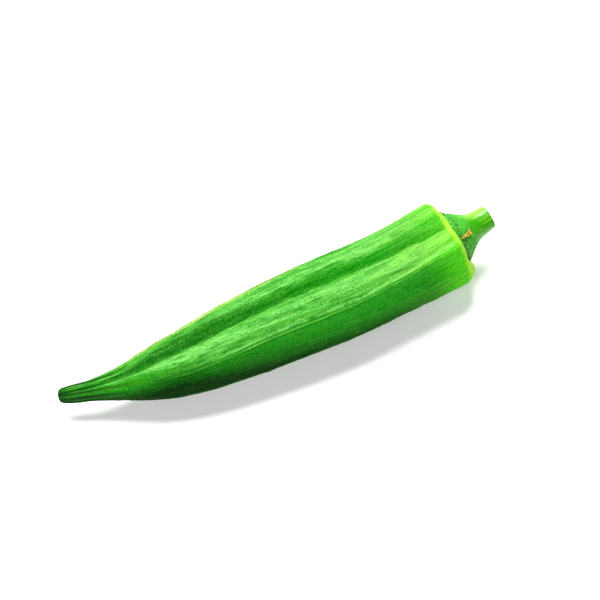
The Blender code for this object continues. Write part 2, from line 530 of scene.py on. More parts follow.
@dataclass(frozen=True)
class Centreline:
    """The bent line through pod and stem: the tip bends sideways and dips, and the stem end bends back."""

    tip_bend: float = 6.5 * MM
    tip_bend_end: float = 36.0 * MM
    stem_bend: float = 2.44
    stem_bend_start: float = 65.0 * MM
    body_height: float = 10.15 * MM
    tip_dip: float = 4.9 * MM
    tip_dip_end: float = 75.0 * MM

    def sideways(self, place: Value) -> Value:
        """How far the line is towards +Y, at a number's or a signal's place."""
        tip = self.tip_bend * at_least(1.0 - place / self.tip_bend_end, 0.0) ** 2
        return tip + self.stem_bend * at_least(place - self.stem_bend_start, 0.0) ** 2

    def height(self, place: Value) -> Value:
        """How high the line is, at a number's or a signal's place."""
        return self.body_height - self.tip_dip * at_least(1.0 - place / self.tip_dip_end, 0.0) ** 2

    def slopes(self, place: Value) -> tuple[Value, Value]:
        """How steeply the line runs.

        Args:
            place: A number's or a signal's place.

        Returns:
            Its slopes sideways and up.
        """
        tip = at_least(1.0 - place / self.tip_bend_end, 0.0) * (-2.0 * self.tip_bend / self.tip_bend_end)
        stem = at_least(place - self.stem_bend_start, 0.0) * (2.0 * self.stem_bend)
        dip = at_least(1.0 - place / self.tip_dip_end, 0.0) * (2.0 * self.tip_dip / self.tip_dip_end)
        return tip + stem, dip

    def around(self, place: float, angle: float, reach: float) -> Vector:
        """Finds a point round the line, square to it.

        Args:
            place: Distance from the tip.
            angle: Degrees round the line.
            reach: Distance from the line.

        Returns:
            The point.
        """
        sideways, up = self.slopes(place)
        side = Vector((-sideways, 1.0, 0.0)).normalized()
        top = Vector((1.0, sideways, up)).normalized().cross(side)
        turn = math.radians(angle)
        centre = Vector((place, self.sideways(place), self.height(place)))
        return centre + reach * (math.cos(turn) * top + math.sin(turn) * side)

    def lay(self, board: Board, place: Signal, angle: Signal, reach: Signal) -> Signal:
        """Finds the same point as `around`, for signals.

        Args:
            board: The tree to build in.
            place: Distance from the tip.
            angle: Degrees round the line.
            reach: Distance from the line.

        Returns:
            The point.
        """
        sideways, up = self.slopes(place)
        along = board.vector("NORMALIZE", board.join(1.0, sideways, up))
        side = board.vector("NORMALIZE", board.join(-sideways, 1.0, 0.0))
        top = board.vector("CROSS_PRODUCT", along, side)
        turn = angle * RADIAN
        outward = board.vector("ADD", board.scaled(top, turn.cos()), board.scaled(side, turn.sin()))
        centre = board.join(place, self.sideways(place), self.height(place))
        return board.vector("ADD", centre, board.scaled(outward, reach))


@dataclass(frozen=True)
class Station:
    """One ring of a grown body: its place and radius, how much it is of the edge, and its ridges' strength.

    The edge is the pod's rim or the stem's cut.
    """

    place: float
    reach: float
    edge: float = 0.0
    relief: float = 1.0


@dataclass(frozen=True)
class Ridge:
    """One ridge: its crest and the furrow before it, in degrees round the pod at its middle and its rim."""

    furrow: float
    rim_furrow: float
    depth: float
    rim_depth: float
    crest: float
    rim_crest: float


class Sheet:
    """A body's skin as it grows, first flat, with a row for each station and the input "Columns" round it."""

    def __init__(self, grower: Grower) -> None:
        """Starts the sheet, and reads each point's station and turn.

        Args:
            grower: The tree, whose host `outlined` made.
        """
        self.grower = grower
        columns = grower["Columns"]
        host = {0: grower["Geometry"]}
        rows = grower.value("GeometryNodeAttributeDomainSize", {"component": "MESH"}, host, "Point Count")
        size = {"Size X": 1.0, "Size Y": 1.0, "Vertices X": rows, "Vertices Y": columns}
        self.mesh = grower.value("GeometryNodeMeshGrid", None, size, "Mesh")
        index = grower.value("GeometryNodeInputIndex")
        row = (index / columns + ROW_NUDGE).whole()
        self.turn = (index - row * columns) / (columns - 1.0) * 360.0 - 180.0
        station = grower.sample(grower.position(), row, "FLOAT_VECTOR")
        self.place, self.reach, self.edge = grower.parts(station)
        self.relief = grower.sample(grower.named(Mark.RELIEF), row)
        self.thick = self.reach / MM
        radians = self.turn * RADIAN
        self.flow = grower.join(self.place / MM, self.thick * radians.cos(), self.thick * radians.sin())
        self.mesh = grower.store(self.mesh, Mark.FLOW, self.flow, "FLOAT_VECTOR")

    def store(self, marks: Mapping[Mark, Signal]) -> None:
        """Stores marks on the sheet's points."""
        for mark, value in marks.items():
            self.mesh = self.grower.store(self.mesh, mark, value)

    def wrapped(self, line: Centreline, place: Signal, reach: Signal) -> Signal:
        """Lays the sheet round a line.

        Args:
            line: The line.
            place: Each point's place along it.
            reach: Each point's distance from it.

        Returns:
            The body, closed at its seam and poles, smooth, and with its faces outwards.
        """
        grower = self.grower
        laid = grower.moved(self.mesh, "Position", line.lay(grower, place, self.turn, reach))
        joining = {"Geometry": laid, "Distance": grower["Seam"]}
        flipping = {"Mesh": grower.value("GeometryNodeMergeByDistance", None, joining)}
        smoothing = {"Geometry": grower.value("GeometryNodeFlipFaces", None, flipping), "Shade Smooth": True}
        return grower.value("GeometryNodeSetShadeSmooth", {"domain": "FACE"}, smoothing)


def outlined(name: str, stations: Sequence[Station]) -> Object:
    """Adds an object whose mesh holds a body's rings, for a tree to read.

    Args:
        name: Its name.
        stations: The rings; a point's x is the ring's place, its y the reach and its z the edge.

    Returns:
        The object.
    """
    host = point_object(name, [Vector((s.place, s.reach, s.edge)) for s in stations])
    relief = host.data.attributes.new(Mark.RELIEF.value, "FLOAT", "POINT")
    relief.data.foreach_set("value", [s.relief for s in stations])
    return host


@dataclass(frozen=True)
class PodSkin:
    """Living green skin: yellower at shoulder and rim, dark at the tip, streaked along the pod, with painted
    shade on the underside, in the furrows and beside them, and a painted sheen and highlights on the ridges.
    """

    deep: Colour = (0.003, 0.085, 0.001)
    fresh: Colour = (0.02, 0.19, 0.003)
    pale: Colour = (0.115, 0.3, 0.034)
    # Pale bluish green: the skin's own pale ribs and flecks, and painted sheen and highlights on the ridges.
    bloom_and_sheen: Colour = (0.2, 0.45, 0.14)
    # Painted shade: the underside's green, and the near-black towards its bottom edge.
    shaded: Colour = (0.005, 0.25, 0.001)
    low: Colour = (0.0005, 0.028, 0.0003)
    shoulder: Colour = (0.12, 0.29, 0.012)
    # Lime of the band by the rim; on the underside it is painted light shining through.
    swell: Colour = (0.09, 0.45, 0.007)
    rim: Colour = (0.28, 0.5, 0.035)
    tip: Colour = (0.002, 0.03, 0.002)
    seam: Colour = (0.16, 0.42, 0.07)
    scuff: Colour = (0.22, 0.2, 0.04)
    # A painted highlight along the top crest.
    top_crest_highlight: Colour = (0.5, 0.5, 0.2)
    streaks: Grain = Grain(0.1, 1.5, 4.0, 0.65)
    mottling: Grain = Grain(0.35, 0.9, 4.0, 0.6)
    graining: Grain = Grain(2.2, 3.2, 3.0, 0.65)
    patches: Grain = Grain(0.05, 0.12)
    specks: Grain = Grain(4.0, 5.5)
    ribs: Grain = Grain(0.03, 2.4)
    tip_lines: Grain = Grain(0.03, 3.4, 1.0)
    seam_breaks: Grain = Grain(0.12, 0.1, 3.0)
    scuffs: Grain = Grain(0.5, 2.5, 3.0)

    def make(self) -> Material:
        """Builds the material, which reads the marks that Pod stores."""
        return PodPaint(self).done()


class PodPaint(Painter):
    """The pod's material at work: the marks and noises that it varies by, zones made of both, and layers."""

    def __init__(self, skin: PodSkin) -> None:
        """Reads the marks and lays out the zones.

        Args:
            skin: The finish, which holds the colours and the noises' grains.
        """
        super().__init__("pod skin", 0.2, skin.deep)
        self.skin = skin
        self.flow = self.mark(Mark.FLOW, "Vector")
        self.along, self.lip, self.furrow = (self.mark(m) for m in (Mark.ALONG, Mark.LIP, Mark.FURROW))
        self.gap, self.dent = (self.mark(m) for m in (Mark.CREST_GAP, Mark.HOLLOW))
        self.flank, self.underside = (self.mark(m) for m in (Mark.FLANK, Mark.UNDERSIDE))
        self.streak, self.mottle, self.grain, self.patch, self.speck, self.ribs = (
            self.noise(self.flow, grain)
            for grain in (skin.streaks, skin.mottling, skin.graining, skin.patches, skin.specks, skin.ribs)
        )
        x, y, z = self.parts(self.flow)
        thick = ((y * y + z * z) ** 0.5).at_least(0.1)
        self.lines = self.noise(self.join(x, y / thick, z / thick), skin.tip_lines)
        self.streaky = self.streak * 0.5 + self.mottle * 0.5
        self.gritty = self.streak * 0.5 + self.grain * 0.5
        self.uneven = (self.grain + self.streak) * 0.5 - 0.5
        along = self.along
        self.tipward = along.rise(0.6, 0.25)
        self.near_tip = along.rise(0.22, 0.05)
        self.under = (self.underside - along.rise(0.7, 1.0) * 10.0).rise(92.0, 86.0)
        self.near_stem = along.rise(0.7, 0.94) * (1.0 - self.under * 0.5 - self.flank * 0.4).at_least(0.0)
        self.body = along.rise(0.13, 0.25) * (1.0 - self.lip)
        # Painted shade darkening the underside towards its bottom edge, half as strong by the stem.
        spread = along.rise(0.85, 0.1) * 30.0 + along.rise(0.45, 0.25) * 12.0 - along.rise(0.3, 0.12) * 26.0
        low = (self.underside + self.uneven * 30.0 - spread).rise(74.0, 22.0)
        self.low = low * (1.0 - along.rise(0.75, 1.0) * 0.5)
        # Creases beside the crests, darkened with painted shade.
        crease = (self.gap - 2.4 - (self.patch - 0.5) * 3.0).nearness(0.4) * self.streaky.rise(0.42, 0.54)
        self.crease = crease * self.body * (1.0 - self.under)
        self.seam_edge = (self.gap - 0.45).nearness(0.14)

    def _ground(self) -> None:
        """Paints the streaked green, a pale painted sheen on the ridges' sides, and painted shade in the
        furrows and hollows.
        """
        skin = self.skin
        self.cover(skin.fresh, (self.streak * 0.75 + self.mottle * 0.25).rise(0.22, 0.5))
        self.cover(skin.pale, self.gritty.rise(0.46, 0.64) * (0.68 - self.tipward * 0.35))
        # Painted sheen on the ridges' sides, away from the crests and out of the hollows.
        bloom_and_sheen = (self.gap - self.tipward * 0.9).rise(0.3, 1.8) * (1.0 - self.dent).rise(0.45, 0.9)
        bloom_and_sheen = bloom_and_sheen * self.along.rise(0.08, 0.25)
        sheen = (self.streak * 0.6 + self.mottle * 0.4 + self.tipward * 0.08).rise(0.38, 0.6)
        self.cover(skin.bloom_and_sheen, bloom_and_sheen * sheen * (0.3 + self.tipward * 0.18))
        grit = self.grain.rise(0.46, 0.3) * 0.5 + self.speck.rise(0.5, 0.34) * 0.3
        self.cover(skin.deep, grit * (1.0 - self.tipward * 0.4))
        # Painted shade in the furrows and in the wrinkles' hollows.
        self.cover(skin.deep, self.furrow.rise(0.35, 1.0) * 0.2 + self.dent.rise(0.2, 1.0) * 0.5)

    def _sides(self) -> None:
        """Paints shade onto the skin below the lower crest, just above it, and in the flanks beside the
        furrows.
        """
        skin = self.skin
        # Painted shade on the underside, below the lower crest.
        self.cover(skin.shaded, self.under * (0.75 + self.uneven))
        # Painted shade beside the crests, above the underside, on the tip half.
        crest_side_shade = (self.gap - 1.3).nearness(1.0) * self.along.rise(0.68, 0.4) * (1.0 - self.under)
        self.cover(skin.fresh, crest_side_shade * self.gritty.rise(0.64, 0.46) * 0.9)
        self.cover(skin.deep, crest_side_shade * self.streaky.rise(0.52, 0.4) * 0.6)
        # Painted shade in the flanks beside the furrows, a lighter green towards the stem.
        flank_shade = self.blend(skin.deep, skin.shaded, self.along.rise(0.35, 0.85) * 0.33)
        self.cover(flank_shade, self.flank * (0.85 - self.uneven * 2.0) * (1.0 - self.near_tip * 0.45))

    def _belly(self) -> None:
        """Specks the underside, darkens it with painted shade towards its bottom edge, and paints a pale
        highlight along the top crest.
        """
        skin = self.skin
        self.cover(skin.low, self.under * (self.grain * 0.5 + self.speck * 0.5).rise(0.5, 0.36) * 0.5)
        self.cover(skin.pale, self.under * (self.grain * 0.4 + self.speck * 0.6).rise(0.54, 0.66) * 0.35)
        self.cover(skin.low, self.low)
        # A painted highlight: a thin pale line along the top crest.
        top_crest_highlight = self.gap.nearness(1.0) * self.underside.rise(140.0, 165.0)
        top_crest_highlight = top_crest_highlight * self.along.rise(0.12, 0.22) * self.along.rise(0.7, 0.45)
        self.cover(skin.top_crest_highlight, top_crest_highlight * self.gritty.rise(0.36, 0.56) * 0.7)

    def _shoulder(self) -> None:
        """Yellows the stem end, ribs it finely, paints the rim pale yellow-green, and brightens the underside
        by the rim with painted light shining through.
        """
        skin = self.skin
        yellow = (self.along + (self.patch - 0.5) * 0.3 + (self.streak - 0.5) * 0.16).rise(0.72, 1.0)
        self.cover(skin.shoulder, yellow * (0.8 - self.under * 0.68 - self.flank * 0.7).at_least(0.0))
        # Lime band by the rim, strongest on the underside as painted light shining through.
        self.cover(skin.swell, self.along.rise(0.88, 0.98) * (0.18 + self.under * 0.52 + self.uneven))
        self.cover(skin.bloom_and_sheen, self.ribs.rise(0.5, 0.66) * self.near_stem * 0.3)
        self.cover(skin.fresh, self.ribs.rise(0.46, 0.34) * self.near_stem * 0.25)
        self.cover(skin.deep, self.grain.rise(0.48, 0.34) * 0.3)
        self.cover(skin.bloom_and_sheen, self.grain.rise(0.52, 0.7) * (0.16 - self.under * 0.06 - self.flank * 0.08))
        self.cover(skin.rim, (self.lip + (self.mottle - 0.5) * 0.4).rise(0.0, 0.5) * 0.8)

    def _tip(self) -> None:
        """Stripes the tip and darkens its end."""
        skin = self.skin
        self.cover(skin.deep, self.along.rise(0.13, 0.03) * 0.2)
        self.cover(skin.bloom_and_sheen, self.lines.rise(0.49, 0.4) * self.near_tip * (0.55 - self.under * 0.4))
        self.cover(skin.tip, self.lines.rise(0.5, 0.58) * self.near_tip * 0.85)
        self.cover(skin.tip, (self.along + (self.lines - 0.5) * 0.12).rise(0.045, 0.0) * 0.6)

    def _crests(self) -> None:
        """Paints shade into the creases beside the crests and a highlight along a strip above the lower crest,
        and draws the broken seam along the crests, and their scuffs.
        """
        skin = self.skin
        along, under = self.along, self.under
        # Painted shade in the creases.
        self.cover(skin.fresh, self.crease * 0.7)
        # A painted highlight along a strip just above the lower crest.
        strip = (self.gap - 0.85).nearness(0.4) * self.streaky.rise(0.4, 0.54) * along.rise(0.28, 0.45)
        strip = strip * (1.0 - self.lip) * self.underside.rise(118.0, 104.0)
        self.cover(skin.bloom_and_sheen, strip * (1.0 - under) * 0.4)
        broken = self.noise(self.flow, skin.seam_breaks).rise(0.3, 0.55) * self.body
        self.cover(skin.seam, self.gap.nearness(0.15) * (broken * 0.5 + 0.05) * along.rise(0.22, 0.4))
        self.cover(skin.deep, self.seam_edge * broken * along.rise(0.85, 0.6) * 0.7)
        worn = self.gap.nearness(0.9) * self.noise(self.flow, skin.scuffs).rise(0.64, 0.8) * (1.0 - under)
        self.cover(skin.scuff, worn * 0.35)

    def done(self) -> Material:
        """Paints every layer and ends the material.

        Returns:
            The material.
        """
        for layer in (self._ground, self._sides, self._belly, self._shoulder, self._tip, self._crests):
            layer()
        height = (
            (self.streak - 0.5) * 0.22
            + (self.mottle - 0.5) * 0.06
            + (self.grain - 0.5) * 0.1
            + (self.speck - 0.5) * 0.05
            - self.lines.rise(0.48, 0.6) * self.near_tip * 0.3
            + (self.ribs - 0.5) * self.near_stem * 0.12
            - self.crease * 0.1
            + (self.gap.nearness(0.2) * 0.04 - self.seam_edge * 0.05) * self.body
        )
        dull = self.flank * 0.6 + self.under * 0.15 + self.low * 0.3
        return self.finish(0.3 + self.mottle * 0.12 + self.grain * 0.1 + dull, height)


@dataclass(frozen=True)
class StemSkin:
    """Smooth green stem: bluish on its flared foot, yellower above, with a pale cut and a painted highlight
    along the side that faces up and back.
    """

    foot: Colour = (0.022, 0.2, 0.012)
    sprout: Colour = (0.05, 0.34, 0.025)
    dark: Colour = (0.003, 0.025, 0.002)
    fresh: Colour = (0.035, 0.21, 0.003)
    pale: Colour = (0.26, 0.42, 0.05)
    edge: Colour = (0.04, 0.12, 0.012)
    pith: Colour = (0.42, 0.55, 0.18)
    streaks: Grain = Grain(0.25, 1.6, 4.0, 0.6)
    mottling: Grain = Grain(0.8, 1.2, 4.0, 0.6)
    specks: Grain = Grain(5.0, 5.0)
    blotches: Grain = Grain(2.4, 2.4, 3.0, 0.6)

    def make(self) -> Material:
        """Builds the material.

        Returns:
            The material, which reads the marks that Stem stores.
        """
        paint = Painter("stem skin", 0.45, self.foot)
        flow = paint.mark(Mark.FLOW, "Vector")
        along, cut = paint.mark(Mark.ALONG), paint.mark(Mark.CUT)
        grains = (self.streaks, self.mottling, self.specks, self.blotches)
        streak, mottle, speck, blotch = (paint.noise(flow, grain) for grain in grains)
        uneven = mottle - 0.5
        paint.cover(self.sprout, blotch.rise(0.46, 0.6))
        paint.cover(self.fresh, (along + uneven * 0.3).rise(0.15, 0.55))
        _, y, z = paint.parts(flow)
        # Painted highlight: paler on the side that faces up and back, towards the key lamp, from partway up
        # the stem.
        facing = (y * 0.5 + z * 0.87) / ((y * y + z * z) ** 0.5).at_least(0.1)
        paint.cover(self.pale, (facing + uneven * 0.8).rise(0.3, 0.9) * along.rise(0.3, 0.6) * 0.5)
        paint.cover(self.pale, (streak + along * 0.1).rise(0.55, 0.8) * 0.5)
        dotted = (speck.rise(0.5, 0.66) + blotch.rise(0.46, 0.36)).at_most(1.0)
        paint.cover(self.dark, dotted * (along + uneven * 0.2).rise(0.3, 0.06) * 0.7)
        cut_edge = cut.rise(0.02, 0.25) + (along + uneven * 0.01).rise(0.96, 0.98)
        paint.cover(self.edge, cut_edge.at_most(1.0) * 0.9)
        paint.cover(self.pith, (cut + (speck - 0.5) * 0.12).rise(0.4, 0.62))
        height = (streak - 0.5) * 0.04 + uneven * 0.05 + (speck - 0.5) * 0.02
        matt = along.rise(0.6, 0.2) * 0.45
        return paint.finish(0.27 + mottle * 0.15 + cut * 0.35 + matt, height)


@dataclass(frozen=True)
class DrySkin:
    """Withered leaf: papery, with darker veins along it and paler flecks."""

    name: str
    brown: Colour
    tan: Colour
    straw: Colour
    veins: Grain = Grain(1.2, 5.0, 4.0, 0.6)
    flecks: Grain = Grain(3.0, 3.0, 3.0)

    def make(self) -> Material:
        """Builds the material.

        Returns:
            The material, patterned on the piece's own coordinates.
        """
        paint = Painter(self.name, 0.25, self.brown)
        here = paint.here()
        vein, fleck = paint.noise(here, self.veins), paint.noise(here, self.flecks)
        paint.cover(self.tan, vein.rise(0.36, 0.55))
        paint.cover(self.straw, fleck.rise(0.48, 0.66) * 0.8)
        return paint.finish(0.8, (vein - 0.5) * 0.08 + (fleck - 0.5) * 0.04)


@dataclass(frozen=True)
class HairSkin:
    """Fine plant hair, from one colour to another hair by hair."""

    name: str
    # The two hair colours, dark and pale, mixed at random hair by hair.
    dark_tone: Colour
    light: Colour

    def make(self) -> Material:
        """Builds the material.

        Returns:
            The material, which reads each hair's shade.
        """
        paint = Painter(self.name, 0.4, self.dark_tone)
        paint.cover(self.light, paint.mark(Mark.SHADE))
        return paint.finish(0.5)


@dataclass
class Pod:
    """The seed pod: five ridges between deep furrows, swelling shoulders, a scalloped rim and a shallow seat.

    Shares are of the pod's length or its radius. Furrows, crests and what wanders are in degrees round it.
    Swell, wrinkle and dimple are in millimetres.
    """

    line: Centreline = field(default_factory=Centreline)
    length: float = 97.2 * MM
    radius: float = 10.0 * MM
    outline: Outline = (
        (0.0, 0.135),
        (0.006, 0.18),
        (0.04, 0.23),
        (0.078, 0.262),
        (0.15, 0.41),
        (0.21, 0.575),
        (0.27, 0.7),
        (0.41, 0.874),
        (0.54, 0.958),
        (0.68, 0.994),
        (0.83, 0.973),
        (0.968, 1.008),
    )
    ridges: tuple[Ridge, ...] = (
        Ridge(furrow=-70, rim_furrow=-78, depth=0.03, rim_depth=0.08, crest=-47, rim_crest=-39),
        Ridge(furrow=-3, rim_furrow=-10, depth=0.16, rim_depth=0.12, crest=44, rim_crest=42),
        Ridge(furrow=68, rim_furrow=68, depth=0.11, rim_depth=0.12, crest=106, rim_crest=106),
        Ridge(furrow=144, rim_furrow=142, depth=0.125, rim_depth=0.12, crest=183, rim_crest=183),
        Ridge(furrow=222, rim_furrow=218, depth=0.1, rim_depth=0.12, crest=258, rim_crest=251),
    )
    drift_start: float = 0.7
    furrow_depth: float = 1.0
    furrow_half_width: float = 12.5
    furrow_far_half_width: float = 18.0
    furrow_sharpness: float = 1.5
    crest_rise: float = 0.075
    crest_half_width: float = 14.0
    crest_sharpness: float = 1.0
    tip_crest: float = 0.4
    tip_crest_end: float = 0.4
    underside: float = -135.0
    tip_twist: float = -10.0
    tip_twist_end: float = 0.3
    tip_round: float = 0.45 * MM
    tip_start: float = 0.4
    tip_bluntness: float = 1.15
    shoulder_rise: float = 0.31
    shoulder_depth: float = 0.235
    rim_radius: float = 0.5 * MM
    rim_relief: float = 0.3
    rim_scallop: float = 0.9 * MM
    rim_rise: float = 0.28 * MM
    rim_skew: float = 0.95 * MM
    rim_skew_angle: float = 10.0
    seat_depth: float = 1.5 * MM
    columns: int = 224
    body_rows: int = 316
    tip_rows: int = 10
    shoulder_rows: int = 34
    rim_rows: int = 12
    seat_rows: int = 8
    wander: float = 9.0
    wandering: Grain = Grain(0.045, 0.05)
    raggedness: float = 11.0
    ragging: Grain = Grain(0.22, 0.5, 3.0)
    swell: float = 0.35
    swelling: Grain = Grain(0.03, 0.16)
    wrinkle: float = 0.14
    wrinkling: Grain = Grain(0.1, 0.9, 3.0, 0.55)
    dimple: float = 0.16
    dimpling: Grain = Grain(0.17, 1.3)

    @property
    def shoulder_reach(self) -> float:
        """Radius where the shoulder starts."""
        return self.outline[-1][1] * self.radius

    @property
    def seat_reach(self) -> float:
        """Radius of the round seat in the pod's end."""
        return self.shoulder_reach - self.shoulder_depth * self.radius - self.rim_radius

    def _stations(self) -> list[Station]:
        """Lays out the pod's rings.

        Returns:
            Stations from the tip's pole, over shoulder and rim, to the middle of the seat.
        """
        rings = []
        blunt = self.outline[0][1] * self.radius * self.tip_bluntness
        for cos, sin in quarter(self.tip_rows, self.tip_rows):
            rings.append(Station(self.tip_round * (self.tip_start - cos), blunt * sin, relief=sin))
        start = self.tip_start * self.tip_round
        end = self.length - self.shoulder_rise * self.radius
        for i in range(self.body_rows):
            place = start + (end - start) * i / self.body_rows
            rings.append(Station(place, max(blunt, curve(self.outline, place / self.length) * self.radius)))
        for cos, sin in quarter(self.shoulder_rows, self.shoulder_rows):
            reach = self.shoulder_reach - self.shoulder_depth * self.radius * (1.0 - cos)
            relief = 1.0 - (1.0 - self.rim_relief) * sin**2
            rings.append(Station(end + self.shoulder_rise * self.radius * sin, reach, sin**2, relief))
        for cos, sin in quarter(self.rim_rows, self.rim_rows + 1):
            edge = 1.0 - sin
            place = self.length - self.rim_radius * (1.0 - cos)
            reach = self.seat_reach + self.rim_radius * edge
            rings.append(Station(place, reach, edge, self.rim_relief * edge))
        for i in range(1, self.seat_rows + 1):
            sunk = min(1.0, 2.0 * i / self.seat_rows)
            inward = min(1.0, 2.0 - 2.0 * i / self.seat_rows)
            place = self.length - self.rim_radius - (self.seat_depth - self.rim_radius) * sunk
            rings.append(Station(place, self.seat_reach * inward, 0.0, 0.0))
        return rings

    def _ridges(
        self, grower: Grower, angle: Signal, along: Signal, ragged: Signal
    ) -> tuple[Signal, Signal, Signal, Signal]:
        """Lays out furrows and crests round the pod.

        Args:
            grower: The tree.
            angle: Degrees round the pod, turned with its ridges.
            along: Share of the pod's length from its tip.
            ragged: Degrees by which the painted shade of the flanks wanders from the furrows.

        Returns:
            The rise as a share of the radius, the nearness to a furrow, how far the skin lies in the painted
            shade of a furrow's flank, and the degrees to the nearest crest.
        """
        to_rim = along.rise(self.drift_start, 1.0)
        narrow, wide = grower["Furrow Half Width"], grower["Furrow Far Half Width"]
        lift = along.rise(0.0, self.tip_crest_end) * (1.0 - self.tip_crest) + self.tip_crest
        lift = lift * grower["Crest Rise"]
        # The painted shade of a flank starts at its furrow and fades out 11 to 25 degrees past it, farther at
        # tip and rim.
        ragged = ragged + along.rise(0.35, 0.15) * 9.0
        soft = along.rise(0.5, 0.3) * -6.0 - 2.5
        widening = along.rise(0.55, 0.3) * along.rise(0.08, 0.3) * 14.0 + along.rise(0.78, 0.95) * 9.0
        rise, groove, shade, nearest = 0.0, 0.0, 0.0, None
        for ridge in self.ridges:
            furrow = ridge.furrow + to_rim * (ridge.rim_furrow - ridge.furrow)
            depth = ridge.depth + to_rim * (ridge.rim_depth - ridge.depth)
            crest = ridge.crest + to_rim * (ridge.rim_crest - ridge.crest)
            past = (angle - furrow).half_turn()
            near = past.nearness(past.rise(-0.5, 0.5) * (wide - narrow) + narrow, self.furrow_sharpness)
            away = abs((angle - crest).half_turn())
            rise = rise + away.nearness(self.crest_half_width, self.crest_sharpness) * lift
            rise = rise - near * depth * grower["Furrow Depth"]
            groove = near + groove
            flank = past + ragged
            flank = flank.rise(soft, 1.5) * (flank - widening).rise(25.0, 11.0)
            shade = flank * (depth * 7.0).at_most(1.0) + shade
            nearest = away if nearest is None else nearest.at_most(away)
        return rise, groove, shade, nearest

    def build(self, finish: Material) -> Object:
        """Grows the pod.

        Args:
            finish: Its material.

        Returns:
            The pod, with its tip at the origin.
        """
        inputs = {
            "Columns": self.columns,
            "Length": self.length,
            "Furrow Depth": self.furrow_depth,
            "Furrow Half Width": self.furrow_half_width,
            "Furrow Far Half Width": self.furrow_far_half_width,
            "Crest Rise": self.crest_rise,
            "Rim Rise": self.rim_rise,
            "Rim Scallop": self.rim_scallop,
            "Rim Skew": self.rim_skew,
            "Rim Skew Angle": self.rim_skew_angle,
            "Swell": self.swell,
            "Wrinkle": self.wrinkle,
            "Dimple": self.dimple,
            "Seam": SEAM,
            "Finish": finish,
        }
        grower = Grower("grow pod", inputs)
        sheet = Sheet(grower)
        turn, edge, relief = sheet.turn, sheet.edge, sheet.relief
        along = sheet.place / grower["Length"]
        twist = at_least(1.0 - along / self.tip_twist_end, 0.0) ** 2 * self.tip_twist
        wander = (grower.noise(sheet.flow, self.wandering) - 0.5) * self.wander
        ragged = (grower.noise(sheet.flow, self.ragging) - 0.5) * self.raggedness
        rise, groove, shade, nearest = self._ridges(grower, turn - twist + wander, along, ragged)
        marks = {
            Mark.ALONG: along,
            Mark.LIP: edge,
            Mark.RELIEF: relief,
            Mark.FURROW: groove * relief,
            Mark.FLANK: shade * relief,
            Mark.UNDERSIDE: abs((turn + wander - self.underside).half_turn()),
            Mark.CREST_GAP: nearest * RADIAN * sheet.thick,
        }
        sheet.store(marks)
        swell = (grower.noise(sheet.flow, self.swelling) - 0.5) * grower["Swell"] * MM
        reach = sheet.reach * (1.0 + rise * relief) + swell * relief * (sheet.reach / self.radius)
        skew = ((turn - grower["Rim Skew Angle"]) * RADIAN).cos() * grower["Rim Skew"]
        slide = (grower["Rim Rise"] - grower["Rim Scallop"] * groove - skew) * edge
        body = self._wrinkled(grower, sheet.wrapped(self.line, sheet.place + slide, reach))
        return grower.grow(outlined("okra_pod", self._stations()), self._pressed(grower, body))

    def _wrinkled(self, grower: Grower, body: Signal) -> Signal:
        """Sinks long wrinkles and short dimples into the skin, and marks how deep they go.

        Args:
            grower: The tree.
            body: The smooth pod.

        Returns:
            The wrinkled pod.
        """
        flow = grower.named(Mark.FLOW, "FLOAT_VECTOR")
        amount = grower.named(Mark.RELIEF) * grower.named(Mark.ALONG).rise(-0.05, 0.3)
        wrinkle = grower.noise(flow, self.wrinkling) - 0.5
        dimple = grower.noise(flow, self.dimpling).rise(0.54, 0.74)
        depth = (dimple * grower["Dimple"] - wrinkle * grower["Wrinkle"] * 2.0) * amount
        body = grower.store(body, Mark.HOLLOW, (dimple * 0.7 - wrinkle * 1.6) * amount)
        inward = grower.scaled(grower.value("GeometryNodeInputNormal"), -depth * MM)
        return grower.moved(body, "Offset", inward)

    def _pressed(self, grower: Grower, body: Signal) -> Signal:
        """Presses the underside flat where the pod lies on the surface."""
        x, y, z = grower.parts(grower.position())
        return grower.moved(body, "Position", grower.join(x, y, z.at_least(0.0)))


